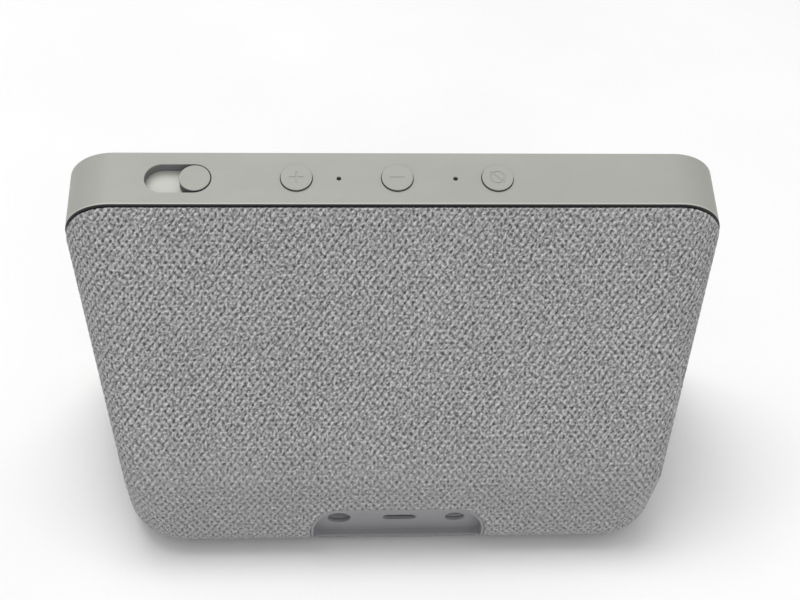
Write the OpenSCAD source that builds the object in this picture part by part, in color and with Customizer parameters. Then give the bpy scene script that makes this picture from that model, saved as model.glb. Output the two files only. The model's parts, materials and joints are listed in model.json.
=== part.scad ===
// Tabletop smart speaker of the display kind: a tilted screen frame in front, a
// fabric-covered wedge behind it, three buttons and a camera shutter on the top
// strip, and three sockets in a recess at the lower back.
// X runs along the width, Y from the screen to the back, Z up. Millimetres.

/* [Overall size] */
// Width of the whole object
overall_w = 148; // [146:0.5:150]
// Depth of the whole object
overall_d = 73; // [72:0.5:76]
// Height of the whole object
overall_h = 86; // [84:0.5:90]
// Backward lean of the screen, in degrees
tilt = 22; // [20:0.5:24]
// Height of the body's underside above the table
foot_h = 1; // [0.8:0.1:1.4]

/* [Screen frame] */
// Depth of the frame, measured square to the screen
frame_t = 14.2; // [14:0.1:15]
// Corner radius of the frame
frame_r = 11; // [10:0.5:12]
// Wall thickness of the frame
frame_wall = 2.4; // [2.2:0.1:2.6]
// Thickness of the cover glass
glass_t = 1.1; // [0.9:0.1:1.2]

/* [Top controls] */
// Distance between neighbouring buttons
button_pitch = 22.4; // [22:0.1:23.5]
// Diameter of the button openings
button_hole_d = 7.3; // [7.2:0.1:7.8]
// Gap between a button and its opening, all round
button_gap = 0.15; // [0.1:0.05:0.3]
// Height of the button caps above the strip
cap_proud = 0.5; // [0:0.1:0.5]
// How far a button goes down
button_travel = 0.5; // [0.3:0.1:0.5]
// Distance of each microphone hole from the middle
mic_x = 13; // [12.5:0.1:13.5]
// Inner end of the shutter slot
slot_x0 = 41.1; // [40:0.1:42]
// Length of the shutter slot
slot_l = 14.8; // [14:0.1:15.5]
// Width of the shutter slot
slot_w = 7.8; // [7.4:0.1:7.8]

/* [Fabric body] */
// Thickness of the fabric with its backing
fabric_t = 0.9; // [0.8:0.1:1]
// Thickness of the rear housing's wall
shell_t = 2; // [1.8:0.1:2.2]
// Half of the body's width at its rear corners
rear_half_w = 63; // [62:0.5:65]
// Plan radius of the rear corners
rear_corner_r = 14.5; // [14:0.5:16]
// Radius along the rear bottom edge
bottom_r = 8.5; // [7:0.5:9]
// Height of the bend in the back
knee_z = 21; // [20:0.5:22]
// Radius of the bend in the back
knee_r = 6; // [5.5:0.5:7]

/* [Sockets] */
// Sideways place of the recess
recess_x = -0.75; // [-2:0.25:1]
// Width of the recess
recess_w = 39.5; // [38:0.5:42]
// Sideways place of the power inlet
power_x = 13; // [12:0.5:14]
// Sideways place of the data socket
data_x = -1.2; // [-2:0.1:0]
// Sideways place of the audio socket
audio_x = -14.3; // [-15:0.1:-13]
// Bore of the audio socket
audio_bore_d = 3.6; // [3.55:0.05:3.65]

/* [Speaker] */
// Outside diameter of the speaker
speaker_d = 42; // [40:1:44]
// Distance of the speaker's middle down the sloping back
speaker_s = 38; // [37:0.5:39]

/* [Hidden] */

// Screen frame axes: x along the width, y square to the screen, z up the screen.
front_y = -overall_d / 2;
front_z = foot_h + frame_t * sin(tilt);
frame_h = (overall_h - front_z) / cos(tilt);
frame_inner = frame_wall + 0.1;
button_y = frame_t / 2;

// The back's flat slope runs from the frame's top rear edge to the bend.
rim_y = front_y + frame_t * cos(tilt) + frame_h * sin(tilt);
rim_z = front_z - frame_t * sin(tilt) + frame_h * cos(tilt);
knee_y = overall_d / 2 - knee_r;
knee_run = norm([knee_y - rim_y, rim_z - knee_z]);
slope = atan2(rim_z - knee_z, knee_y - rim_y) - asin(knee_r / knee_run);

// Layers behind the front of the glass
glass_y = 0.1;
gasket_t = 0.2;
ledge_y = glass_y + glass_t + gasket_t;
ledge_t = 1;
lcd_t = 2;
lcd_w = 131;
lcd_h = 65.5;
lcd_z = 9;
backlight_y = glass_y + glass_t + 0.1 + lcd_t + 0.05;
backlight_t = 1;
bracket_y = backlight_y + backlight_t + 0.15;
bracket_t = 1.5;
bracket_top = 73.5;
boss_x = 69;
boss_z = [12, 41, 68];

// Main board
board_y = bracket_y + bracket_t + 2;
board_t = 1.2;
board_x0 = -46;
board_x1 = 60;
board_z0 = 22;
board_z1 = 70;
board_holes = [[-43, 25], [57, 25], [-43, 67], [51, 67]];
can_x = 4;
can_z = 46;
can_w = 40;
can_h = 32;

// Buttons, from the outer face of the top wall downwards
mark_depth = 0.15;
mic_hole_r = 0.55;
flange_t = 0.7;
flange_top = frame_wall + 0.2;
stem_end = 5;
plunger_r = 1.2;
switch_top = 5.6;
button_board_top = 7.2;
button_board_t = 1;
button_x = [button_pitch, 0, -button_pitch];
post_x = 29.4;
button_board_x = 31.2;

// Camera shutter
knob_r = 3.45;
knob_proud = 0.25;
knob_end_gap = 0.25;
knob_x = slot_x0 + knob_r + knob_end_gap;
slider_half = slot_l - slot_w / 2 + 0.8;
slider_t = 0.8;
camera_x = 57;
camera_z = 78.2;
camera_y = 3.4;

// Socket recess: its wall is parallel to the screen
port_y = 33;
port_z = 8.8;
recess_top = 6;
recess_bottom = -6.45;
recess_top_r = 6;
recess_bottom_r = 1.5;
recess_lip = 0.5;
lip_y = 31.7;
panel_wall = 0.6;
panel_t = 1;
power_mouth_d = 5.4;
audio_mouth_d = 4.5;
data_mouth_w = 7.8;
data_mouth_h = 2.6;
port_board_y = -14;

// Rear housing: its tongue inside the frame, and the speaker grille's holes
tongue_l = 2.2;
grille_pitch = 4.6;

// Base opening corners, front and rear
base_front = [56, -16];
base_rear = [46, 22.8];
base_r = 5;
base_t = 2;
base_posts = [base_front + [-2, 2], base_rear + [-1, -4.5]];
screw_seat = foot_h + 1.2;

// Speaker, measured along its axis from the outside of the back
sp_top = -3.9;
sp_r = speaker_d / 2;
box_top = sp_top - 1.05;
coil_r = 6.3;

$fn = 64;

// ---- axes and outlines ----

module on_screen() {
    translate([0, front_y, front_z]) rotate([-tilt, 0, 0]) children();
}

// Along the speaker's axis: z outwards, y down the slope.
module on_back() {
    translate([0, rim_y + speaker_s * cos(slope), rim_z - speaker_s * sin(slope)])
        rotate([-slope, 0, 0]) children();
}

module on_ports(x = 0) {
    translate([x, port_y, port_z]) rotate([-tilt, 0, 0]) children();
}

module rounded(w, h, r) {
    x = w / 2 - r;
    square([w, h - 2 * r], center = true);
    square([2 * x, h], center = true);
    for (sx = [-1, 1], sy = [-1, 1]) translate([sx * x, sy * (h / 2 - r)]) circle(r);
}

// A plate parallel to the screen, inset from the frame's outline
module screen_plate(inset, y0, y1) {
    translate([0, y1, frame_h / 2]) rotate([90, 0, 0]) linear_extrude(y1 - y0)
        rounded(overall_w - 2 * inset, frame_h - 2 * inset, frame_r - inset);
}

// A box given by its low and high corners
module block(a, b) {
    translate(a) cube(b - a);
}

// A cylinder between two points
module rod(a, b, r, fn = 24) {
    d = b - a;
    translate(a) rotate([0, acos(d.z / norm(d)), atan2(d.y, d.x)]) cylinder(r = r, h = norm(d), $fn = fn);
}

// A round hole or pin square to the screen
module screen_rod(x, z, y0, y1, r, fn = 32) {
    translate([x, y1, z]) rotate([90, 0, 0]) cylinder(r = r, h = y1 - y0, $fn = fn);
}

// A vertical cylinder below the top wall's outer face
module under_top(x, y, top, bottom, r, fn = 64) {
    translate([x, y, frame_h - bottom]) cylinder(r = r, h = bottom - top, $fn = fn);
}

// A screw with a pan head, its shank along +z from the head's seat
module screw(r, l, head_r, head_h) {
    translate([0, 0, -0.1]) cylinder(r = r, h = l + 0.1, $fn = 24);
    translate([0, 0, -head_h]) difference() {
        cylinder(r = head_r, h = head_h, $fn = 32);
        for (a = [0, 90]) rotate(a) translate([0, 0, head_h * 0.15])
            cube([head_r * 1.2, head_r * 0.28, head_h * 0.6], center = true);
    }
}

// ---- the wedge-shaped body behind the frame ----

module rear_post(i) {
    rotate_extrude($fn = 48) intersection() {
        square([rear_corner_r, knee_z]);
        union() {
            translate([0, foot_h + bottom_r])
                square([rear_corner_r - i, knee_z - foot_h - bottom_r]);
            translate([0, foot_h + i]) square([rear_corner_r - bottom_r, bottom_r - i + 0.01]);
            translate([rear_corner_r - bottom_r, foot_h + bottom_r])
                circle(bottom_r - i, $fn = 40);
        }
    }
}

// The body's outer form, drawn in by i, from the frame plane back
module body_form(i, front = 0) {
    hull() {
        on_screen() translate([0, frame_t + 0.4, frame_h / 2]) rotate([90, 0, 0])
            linear_extrude(0.4 + front)
            rounded(overall_w - 2 * i, frame_h - 2 * i, frame_r - i, $fn = 56);
        for (s = [-1, 1]) {
            translate([s * (rear_half_w - rear_corner_r), overall_d / 2 - rear_corner_r, 0])
                rear_post(i);
            translate([s * (rear_half_w - knee_r - 0.6), knee_y, knee_z])
                sphere(knee_r - i, $fn = 48);
        }
    }
}

module base_outline(grow) {
    hull() for (s = [-1, 1]) {
        translate([s * base_front.x, base_front.y]) circle(base_r + grow, $fn = 32);
        translate([s * base_rear.x, base_rear.y]) circle(base_r + grow, $fn = 32);
    }
}

// Grown for the panel round it, the recess also gets a deeper lip along its bottom
module recess_outline(grow) {
    low = recess_bottom + recess_bottom_r - (grow > 0 ? recess_lip : 0);
    hull() for (s = [-1, 1]) {
        translate([s * (recess_w / 2 - recess_top_r), recess_top - recess_top_r])
            circle(recess_top_r + grow, $fn = 48);
        translate([s * (recess_w / 2 - recess_bottom_r), low])
            circle(recess_bottom_r + grow, $fn = 24);
    }
}

module recess_prism(grow, y0, y1) {
    on_ports(recess_x) translate([0, y1, 0]) rotate([90, 0, 0])
        linear_extrude(y1 - y0) recess_outline(grow);
}

// ---- screen and frame ----

module front_frame() {
    color([0.70, 0.70, 0.67]) on_screen() difference() {
        screen_plate(0, 0, frame_t);
        screen_plate(1.6, -1, ledge_y);
        screen_plate(3.8, ledge_y - 0.1, ledge_y + ledge_t + 0.1);
        difference() {
            screen_plate(frame_wall, ledge_y + ledge_t, frame_t + 1);
            for (s = [-1, 1], z = boss_z)
                translate([s * (boss_x + 1.5), (bracket_y + ledge_y) / 2, z])
                    cube([6, bracket_y - ledge_y, 5], center = true);
        }
        for (s = [-1, 1], z = boss_z)
            screen_rod(s * boss_x, z, ledge_y + 0.4, bracket_y + 1, 1);
        for (x = button_x) under_top(x, button_y, -1, frame_wall + 1, button_hole_d / 2);
        for (s = [-1, 1]) under_top(s * mic_x, button_y, -1, frame_wall + 1, mic_hole_r, 32);
        translate([slot_x0 + slot_w / 2, button_y, frame_h - frame_wall - 1])
            linear_extrude(frame_wall + 2) {
                circle(slot_w / 2);
                translate([slot_l - slot_w, 0]) circle(slot_w / 2);
                translate([0, -slot_w / 2]) square([slot_l - slot_w, slot_w]);
            }
    }
}

module cover_glass() {
    color([0.05, 0.05, 0.06]) on_screen() screen_plate(1.7, glass_y, glass_y + glass_t);
}

module glass_gasket() {
    color([0.1, 0.1, 0.1]) on_screen() difference() {
        screen_plate(1.9, glass_y + glass_t, ledge_y);
        screen_plate(3.7, 0, 5);
    }
}

module lcd_panel() {
    y0 = glass_y + glass_t + 0.1;
    color([0.08, 0.08, 0.1]) on_screen() difference() {
        block([-lcd_w / 2, y0, lcd_z], [lcd_w / 2, y0 + lcd_t, lcd_z + lcd_h]);
        block([-18, y0 + 0.8, lcd_z - 1], [18, y0 + lcd_t + 1, lcd_z + 1.2]);
    }
}

module backlight_plate() {
    color([0.75, 0.76, 0.78]) on_screen() difference() {
        block([-65.8, backlight_y, 8.6], [65.8, backlight_y + backlight_t, 74.6]);
        block([-64.8, backlight_y + 0.5, 9.6], [64.8, backlight_y + 2, 73.6]);
        block([-18, backlight_y - 1, 8], [18, backlight_y + 2, 10.5]);
    }
}

module display_bracket() {
    color([0.2, 0.2, 0.22]) on_screen() difference() {
        intersection() {
            screen_plate(frame_inner + 0.1, bracket_y, bracket_y + bracket_t);
            block([-80, 0, 0], [80, 20, bracket_top]);
        }
        for (s = [-1, 1], z = boss_z) screen_rod(s * boss_x, z, 0, 20, 1.1);
        block([-20, 0, 8], [20, 20, 20]);
        for (s = [-1, 1]) block([s * 47 - 9, 0, 28], [s * 47 + 9, 20, 60]);
    }
}

module display_screws() {
    color([0.6, 0.6, 0.62]) on_screen() for (s = [-1, 1], z = boss_z)
        translate([s * boss_x, bracket_y + bracket_t, z]) rotate([90, 0, 0]) screw(0.97, 4, 1.9, 1.1);
}

// ---- camera and its shutter ----

module camera_module() {
    color([0.12, 0.12, 0.13]) on_screen() difference() {
        union() {
            block([camera_x - 3.5, camera_y + 1, camera_z - 3.5],
                [camera_x + 3.5, camera_y + 4.2, camera_z + 3.5]);
            screen_rod(camera_x, camera_z, camera_y, camera_y + 2, 2.9, 48);
        }
        screen_rod(camera_x, camera_z, camera_y - 1, camera_y + 1, 2.05, 48);
    }
}

module camera_lens() {
    color([0.1, 0.12, 0.2]) on_screen() translate([camera_x, camera_y + 1, camera_z]) rotate([90, 0, 0])
        rotate_extrude() polygon([[0, 0], [2, 0], [2, 0.4], [1.6, 0.6], [0.8, 0.75], [0, 0.8]]);
}

// The knob and the long floor plate under it, which keeps the slot closed
module shutter_knob() {
    color([0.71, 0.71, 0.68]) on_screen() {
        under_top(knob_x, button_y, -knob_proud, flange_top + 0.05, knob_r);
        block([knob_x - slider_half, ledge_y + ledge_t + 0.25, frame_h - flange_top - slider_t],
            [knob_x + slider_half, button_y + 4.4, frame_h - flange_top]);
    }
}

module shutter_blade() {
    y0 = ledge_y + ledge_t + 0.3;
    z1 = frame_h - flange_top - slider_t;
    color([0.05, 0.05, 0.05]) on_screen() {
        block([knob_x - 4, y0, camera_z - 2.6], [knob_x + 7, y0 + 0.3, z1]);
        block([knob_x - 4, y0 + 0.3, z1 - 0.5], [knob_x + 7, y0 + 3, z1]);
    }
}

// ---- buttons ----

module cap_mark(kind) {
    w = 0.35;
    l = 3.2;
    if (kind == "plus" || kind == "minus") square([l, w], center = true);
    if (kind == "plus") square([w, l], center = true);
    if (kind == "off") {
        difference() {
            circle(1.75);
            circle(1.75 - w);
        }
        rotate(-45) square([4.2, w], center = true);
    }
}

module button_cap(x, kind) {
    color([0.71, 0.71, 0.68]) on_screen() difference() {
        union() {
            under_top(x, button_y, -cap_proud, flange_top + 0.1, button_hole_d / 2 - button_gap);
            under_top(x, button_y, flange_top, flange_top + flange_t, button_hole_d / 2 + 0.75);
            under_top(x, button_y, flange_top + 0.1, stem_end, 1.3);
        }
        translate([x, button_y, frame_h + cap_proud - mark_depth]) linear_extrude(1) cap_mark(kind);
    }
}

module volume_up_button() {
    button_cap(button_x[0], "plus");
}

module volume_down_button() {
    button_cap(button_x[1], "minus");
}

module mic_camera_button() {
    button_cap(button_x[2], "off");
}

// The tactile switch's own actuator, which the button's stem rests on
module plunger(x) {
    color([0.15, 0.15, 0.15]) on_screen() under_top(x, button_y, stem_end, stem_end + 1.2, plunger_r, 32);
}

module volume_up_plunger() {
    plunger(button_x[0]);
}

module volume_down_plunger() {
    plunger(button_x[1]);
}

module mic_camera_plunger() {
    plunger(button_x[2]);
}

module tactile_switches() {
    z0 = frame_h - button_board_top;
    z1 = frame_h - switch_top;
    color([0.8, 0.8, 0.82]) on_screen() for (x = button_x) difference() {
        block([x - 2.6, button_y - 2.6, z0], [x + 2.6, button_y + 2.6, z1]);
        under_top(x, button_y, switch_top - 1, stem_end + 1.2 + button_travel + 0.15, plunger_r + 0.1, 32);
    }
}

module button_retainer() {
    color([0.85, 0.85, 0.83]) on_screen() difference() {
        union() {
            block([-button_board_x, button_y - 3.8, frame_h - 4.8],
                [button_board_x, button_y + 4.2, frame_h - 4.2]);
            for (s = [-1, 1])
                under_top(s * post_x, button_y, frame_wall + 0.05, button_board_top, 1.6, 32);
        }
        for (x = button_x) under_top(x, button_y, 3, 6, 1.8, 32);
        for (s = [-1, 1]) {
            under_top(s * mic_x, button_y, 3, 6, 2, 32);
            under_top(s * post_x, button_y, 5, 9, 0.6, 24);
        }
    }
}

module button_board() {
    color([0.1, 0.35, 0.2]) on_screen() difference() {
        block([-button_board_x, button_y - 3, frame_h - button_board_top - button_board_t],
            [button_board_x, button_y + 3.4, frame_h - button_board_top]);
        for (s = [-1, 1]) under_top(s * post_x, button_y, 6, 10, 0.7, 24);
    }
}

module button_board_screws() {
    z0 = frame_h - button_board_top - button_board_t;
    color([0.6, 0.6, 0.62]) on_screen() for (s = [-1, 1])
        translate([s * post_x, button_y, z0]) screw(0.57, 2.8, 1.2, 0.7);
}

module microphones() {
    z0 = frame_h - button_board_top;
    color([0.8, 0.75, 0.5]) on_screen() for (s = [-1, 1]) difference() {
        block([s * mic_x - 1.75, button_y - 1.35, z0], [s * mic_x + 1.75, button_y + 1.35, z0 + 1]);
        under_top(s * mic_x, button_y, 5, button_board_top - 0.4, 0.3, 24);
    }
}

module mic_gaskets() {
    color([0.08, 0.08, 0.08]) on_screen() for (s = [-1, 1]) difference() {
        under_top(s * mic_x, button_y, frame_wall + 0.02, button_board_top - 1.02, 1.6, 32);
        under_top(s * mic_x, button_y, 2, button_board_top, 0.5, 24);
    }
}

// ---- electronics ----

module main_board() {
    color([0.08, 0.3, 0.18]) on_screen() difference() {
        block([board_x0, board_y, board_z0], [board_x1, board_y + board_t, board_z1]);
        for (h = board_holes) screen_rod(h.x, h.y, 0, 20, 1.2, 24);
        block([54, 0, 64], [61, 20, 71]);
    }
}

module board_standoffs() {
    color([0.75, 0.7, 0.45]) on_screen() for (h = board_holes) difference() {
        screen_rod(h.x, h.y, bracket_y + bracket_t, board_y, 2);
        screen_rod(h.x, h.y, 0, 20, 1, 24);
    }
}

module board_screws() {
    color([0.6, 0.6, 0.62]) on_screen() for (h = board_holes)
        translate([h.x, board_y + board_t, h.y]) rotate([90, 0, 0]) screw(0.97, 2.8, 1.8, 1);
}

module processor() {
    y0 = board_y + board_t;
    color([0.06, 0.06, 0.07]) on_screen()
        block([can_x - 7, y0, can_z - 7], [can_x + 7, y0 + 1.2, can_z + 7]);
}

module memory_chips() {
    y0 = board_y + board_t;
    color([0.06, 0.06, 0.07]) on_screen() for (s = [-1, 1])
        block([can_x + s * 13 - 4, y0, can_z - 6], [can_x + s * 13 + 4, y0 + 1, can_z + 6]);
}

module shield_can() {
    y0 = board_y + board_t;
    x = can_w / 2;
    z = can_h / 2;
    color([0.72, 0.73, 0.75]) on_screen() difference() {
        block([can_x - x, y0, can_z - z], [can_x + x, y0 + 1.7, can_z + z]);
        block([can_x - x + 0.3, y0 - 1, can_z - z + 0.3], [can_x + x - 0.3, y0 + 1.4, can_z + z - 0.3]);
    }
}

module thermal_pad() {
    y0 = board_y + board_t + 1.7;
    color([0.35, 0.5, 0.75]) on_screen()
        block([can_x - 12, y0, can_z - 12], [can_x + 12, y0 + 0.6, can_z + 12]);
}

module heat_spreader() {
    y0 = board_y + board_t + 2.3;
    color([0.8, 0.81, 0.83]) on_screen() difference() {
        block([can_x - 30, y0, can_z - 22], [can_x + 30, y0 + 1, can_z + 22]);
        for (s = [-1, 1]) screen_rod(can_x + s * 26, can_z + 18, 0, 20, 1.5, 24);
    }
}

module wifi_antennas() {
    color([0.75, 0.6, 0.2]) on_screen() for (s = [-1, 1])
        block([s * 52 - 10, 12, 73.9], [s * 52 + 10, 12.5, 79.9]);
}

module display_ribbon() {
    y0 = backlight_y + 0.1;
    color([0.8, 0.45, 0.15]) on_screen() {
        block([-7, y0, 8.8], [7, board_y - 0.6, 9.0]);
        block([-7, board_y - 0.8, 9.0], [7, board_y - 0.6, 26]);
        block([-7, board_y - 0.6, 23], [7, board_y, 26]);
    }
}

module camera_ribbon() {
    y0 = camera_y + 4.2;
    color([0.8, 0.45, 0.15]) on_screen() {
        block([camera_x - 2, y0, 58], [camera_x + 2, y0 + 0.15, camera_z + 3]);
        block([camera_x - 2, y0 + 0.15, 58], [camera_x + 2, board_y, 61]);
    }
}

module button_ribbon() {
    y0 = board_y + board_t;
    color([0.8, 0.45, 0.15]) on_screen() {
        block([-27, y0, 62], [-20, y0 + 0.8, 65]);
        block([-27, y0 + 0.8, 62], [-20, y0 + 1, frame_h - button_board_top - button_board_t - 0.2]);
        block([-27, y0 - 1, frame_h - button_board_top - button_board_t - 0.2],
            [-20, y0 + 1, frame_h - button_board_top - button_board_t]);
    }
}

// ---- speaker ----

module box_form(i) {
    intersection() {
        on_back() block([-28 + i, -24.5 + i, -34 + i], [28 - i, 23.5 - i, box_top - i]);
        on_screen() block([-80, frame_t + 1.4 + i, -80], [80, 200, 200]);
        translate([-80, -80, 5.5 + i]) cube(200);
    }
}

module speaker_box() {
    color([0.13, 0.13, 0.14]) difference() {
        box_form(0);
        box_form(1.5);
        on_back() translate([0, 0, box_top - 3]) cylinder(r = 18.8, h = 4);
    }
}

module speaker_basket() {
    z1 = sp_top - 1;
    color([0.3, 0.3, 0.32]) on_back() difference() {
        rotate_extrude() polygon([
            [17.6, sp_top], [sp_r, sp_top], [sp_r, z1], [18.4, z1], [14, z1 - 6.6],
            [14, z1 - 7.6], [7.5, z1 - 7.6], [7.5, z1 - 6.6], [13, z1 - 6.6], [17.6, z1 + 0.1]
        ]);
        for (a = [45:90:315]) rotate(a) translate([16, 0, z1 - 3.6]) cube([9, 9, 4], center = true);
    }
}

module speaker_gasket() {
    color([0.07, 0.07, 0.07]) on_back() rotate_extrude()
        translate([18, sp_top]) square([sp_r - 18, 0.75]);
}

module speaker_yoke() {
    z1 = sp_top - 8.6;
    color([0.55, 0.56, 0.58]) on_back() {
        translate([0, 0, z1 - 9.5]) cylinder(r = 12.5, h = 2);
        translate([0, 0, z1 - 7.5]) cylinder(r = 5.6, h = 7.5);
    }
}

module speaker_magnet() {
    z1 = sp_top - 8.6;
    color([0.16, 0.16, 0.17]) on_back() rotate_extrude()
        translate([7.6, z1 - 7.5]) square([4.9, 5.5]);
}

module speaker_top_plate() {
    z1 = sp_top - 8.6;
    color([0.6, 0.61, 0.63]) on_back() rotate_extrude() translate([6.9, z1 - 2]) square([5.4, 2]);
}

module voice_coil() {
    color([0.75, 0.42, 0.2]) on_back() rotate_extrude()
        translate([coil_r - 0.25, sp_top - 11]) square([0.5, 5.8]);
}

module speaker_cone() {
    color([0.14, 0.14, 0.15]) on_back() rotate_extrude() polygon([
        [coil_r + 0.25, sp_top - 6], [14.5, sp_top - 1.2], [15.2, sp_top - 1.2],
        [15.2, sp_top - 0.8], [14.3, sp_top - 0.8], [coil_r + 0.25, sp_top - 5.4]
    ]);
}

module dust_cap() {
    color([0.1, 0.1, 0.1]) on_back() translate([0, 0, sp_top - 5.2]) difference() {
        intersection() {
            translate([0, 0, -10.3]) sphere(12.3, $fn = 96);
            cylinder(r = coil_r + 0.2, h = 5);
        }
        translate([0, 0, -10.3]) sphere(11.9, $fn = 96);
    }
}

module speaker_surround() {
    color([0.05, 0.05, 0.05]) on_back() rotate_extrude() intersection() {
        translate([16.4, sp_top - 1]) difference() {
            circle(1.25, $fn = 32);
            circle(0.85, $fn = 32);
        }
        translate([15.2, sp_top - 0.9]) square([2.35, 3]);
    }
}

module speaker_spider() {
    n = 4;
    r0 = coil_r + 0.3;
    step = (12.9 - r0) / (2 * n);
    z1 = sp_top - 7.2;
    upper = [for (k = [0:2 * n]) [r0 + k * step, z1 + (k % 2 == 0 ? 0 : 0.5)]];
    lower = [for (k = [2 * n:-1:0]) [r0 + k * step, z1 - 0.3 + (k % 2 == 0 ? 0 : 0.5)]];
    color([0.7, 0.55, 0.3]) on_back() rotate_extrude() polygon(concat(upper, lower));
}

// A straight stretch of wire with round ends
module wire(a, b, r) {
    hull() for (p = [a, b]) translate(p) sphere(r, $fn = 16);
}

module speaker_leads() {
    bend = [-36, 20, 36];
    color([0.7, 0.1, 0.1]) on_screen() for (k = [0, 1]) translate([0, 0, 2.2 * k]) {
        wire([-28.6, bend.y, bend.z], bend, 0.5);
        wire(bend, [bend.x, board_y + board_t + 0.5, bend.z], 0.5);
    }
}

// ---- rear shell and fabric ----

module rear_housing() {
    base_z = foot_h + fabric_t + 0.1;
    color([0.55, 0.55, 0.56]) {
        difference() {
            body_form(fabric_t + 0.1);
            body_form(fabric_t + 0.1 + shell_t, 1);
            translate([0, 0, -1]) linear_extrude(10) base_outline(0.25);
            recess_prism(panel_wall + 0.2, -6, 20);
            on_back() for (row = [-3:3], k = [-3:3]) {
                x = grille_pitch * (k + (abs(row) % 2) / 2);
                y = grille_pitch * sin(60) * row;
                if (norm([x, y]) < 15) translate([x, y, -8]) cylinder(r = 1.3, h = 12, $fn = 24);
            }
        }
        on_screen() difference() {
            screen_plate(frame_inner + 0.1, frame_t - tongue_l, frame_t + 1);
            screen_plate(frame_inner + 1.5, 0, frame_t + 2);
            block([-64, 0, -10], [64, 20, 9]);
        }
    }
    color([0.55, 0.55, 0.56]) for (s = [-1, 1], p = base_posts) difference() {
        union() {
            translate([s * p.x, p.y, base_z + 1.3]) cylinder(r = 3, h = 7, $fn = 32);
            translate([s * p.x + (s > 0 ? 0 : -8.5), p.y - 1, base_z + 1.3]) cube([8.5, 2, 5]);
        }
        translate([s * p.x, p.y, 0]) cylinder(r = 1, h = 9, $fn = 24);
    }
}

module fabric_cover() {
    color([0.57, 0.57, 0.57]) difference() {
        body_form(0);
        body_form(fabric_t, 1);
        translate([0, 0, -1]) linear_extrude(5) base_outline(0.25);
        recess_prism(panel_wall + 0.1, -6, 20);
    }
}

module base_plate() {
    color([0.55, 0.55, 0.57]) difference() {
        translate([0, 0, foot_h]) linear_extrude(base_t) base_outline(0);
        translate([0, 0, foot_h - 1]) linear_extrude(1.5) base_outline(-3.8);
        for (s = [-1, 1], p = base_posts) translate([s * p.x, p.y, 0]) {
            cylinder(r = 1.1, h = 9, $fn = 24);
            cylinder(r = 2.2, h = screw_seat, $fn = 32);
        }
    }
}

module rubber_foot() {
    color([0.3, 0.3, 0.31]) linear_extrude(foot_h + 0.5) base_outline(-3.9);
}

module base_screws() {
    color([0.6, 0.6, 0.62]) for (s = [-1, 1], p = base_posts)
        translate([s * p.x, p.y, screw_seat]) screw(0.97, 5, 1.9, 0.6);
}

// ---- sockets ----

module socket_mouth(x, r) {
    on_ports(x) rotate([-90, 0, 0]) translate([0, 0, -5]) cylinder(r = r, h = 9);
}

module port_panel() {
    data_mouth_x = (data_mouth_w - data_mouth_h) / 2;
    color([0.53, 0.53, 0.55]) difference() {
        intersection() {
            recess_prism(panel_wall, -panel_t, 12);
            union() {
                body_form(0.15);
                block([recess_x - recess_w / 2 - 2, 25, foot_h], [recess_x + recess_w / 2 + 2, lip_y, 3.2]);
            }
        }
        recess_prism(0, 0, 20);
        socket_mouth(power_x, power_mouth_d / 2);
        socket_mouth(audio_x, audio_mouth_d / 2);
        for (s = [-1, 1]) socket_mouth(data_x + s * data_mouth_x, data_mouth_h / 2);
        on_ports(data_x) block([-data_mouth_x, -5, -data_mouth_h / 2], [data_mouth_x, 4, data_mouth_h / 2]);
    }
}

module power_jack() {
    color([0.12, 0.12, 0.13]) on_ports(power_x) difference() {
        block([-4.5, -12.5, -4.5], [4.5, -panel_t - 0.1, 4.5]);
        rotate([-90, 0, 0]) translate([0, 0, -11.5]) cylinder(r = 2.75, h = 12);
        rotate([-90, 0, 0]) translate([0, 0, -13]) cylinder(r = 1, h = 4, $fn = 32);
    }
}

module power_jack_pin() {
    color([0.8, 0.8, 0.82]) on_ports(power_x) rotate([-90, 0, 0]) translate([0, 0, -12.5]) {
        cylinder(r = 0.95, h = 9.4, $fn = 32);
        translate([0, 0, 9.4]) sphere(0.95, $fn = 32);
    }
}

module data_socket() {
    color([0.75, 0.76, 0.78]) on_ports(data_x) difference() {
        block([-3.75, -8, -1.45], [3.75, -panel_t - 0.1, 1.45]);
        block([-3.45, -7.4, -1.1], [3.45, 0, 1.1]);
        block([-1.9, -9, -0.5], [1.9, -7, 0.5]);
    }
}

module data_socket_tongue() {
    color([0.1, 0.1, 0.1]) on_ports(data_x) block([-1.85, -7.9, -0.45], [1.85, -2.4, 0.45]);
}

module audio_jack() {
    color([0.14, 0.14, 0.15]) on_ports(audio_x) difference() {
        block([-3.2, -13.5, -3], [3.2, -panel_t - 0.1, 3]);
        rotate([-90, 0, 0]) translate([0, 0, -12.8]) cylinder(r = audio_bore_d / 2, h = 13);
    }
}

module port_board() {
    color([0.1, 0.35, 0.2]) on_ports() difference() {
        block([-22, port_board_y - 1, -5], [19, port_board_y, 3]);
        block([-22.5, port_board_y - 2, -5.5], [-19, port_board_y + 1, -1]);
    }
}

module port_leads() {
    p = [-4.5, 0, 7];
    q = [-4.5, -9, 8];
    color([0.15, 0.15, 0.16]) for (k = [0:3]) {
        x = [1.6 * k, 0, 0];
        a = p + x;
        b = q + x;
        rod(a + [0, 17.5, 2.1], a, 0.5);
        translate(a) sphere(0.56, $fn = 24);
        rod(a, b, 0.5);
        translate(b) sphere(0.56, $fn = 24);
        rod(b, b + [0, -6.6, 14], 0.5);
    }
}

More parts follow.
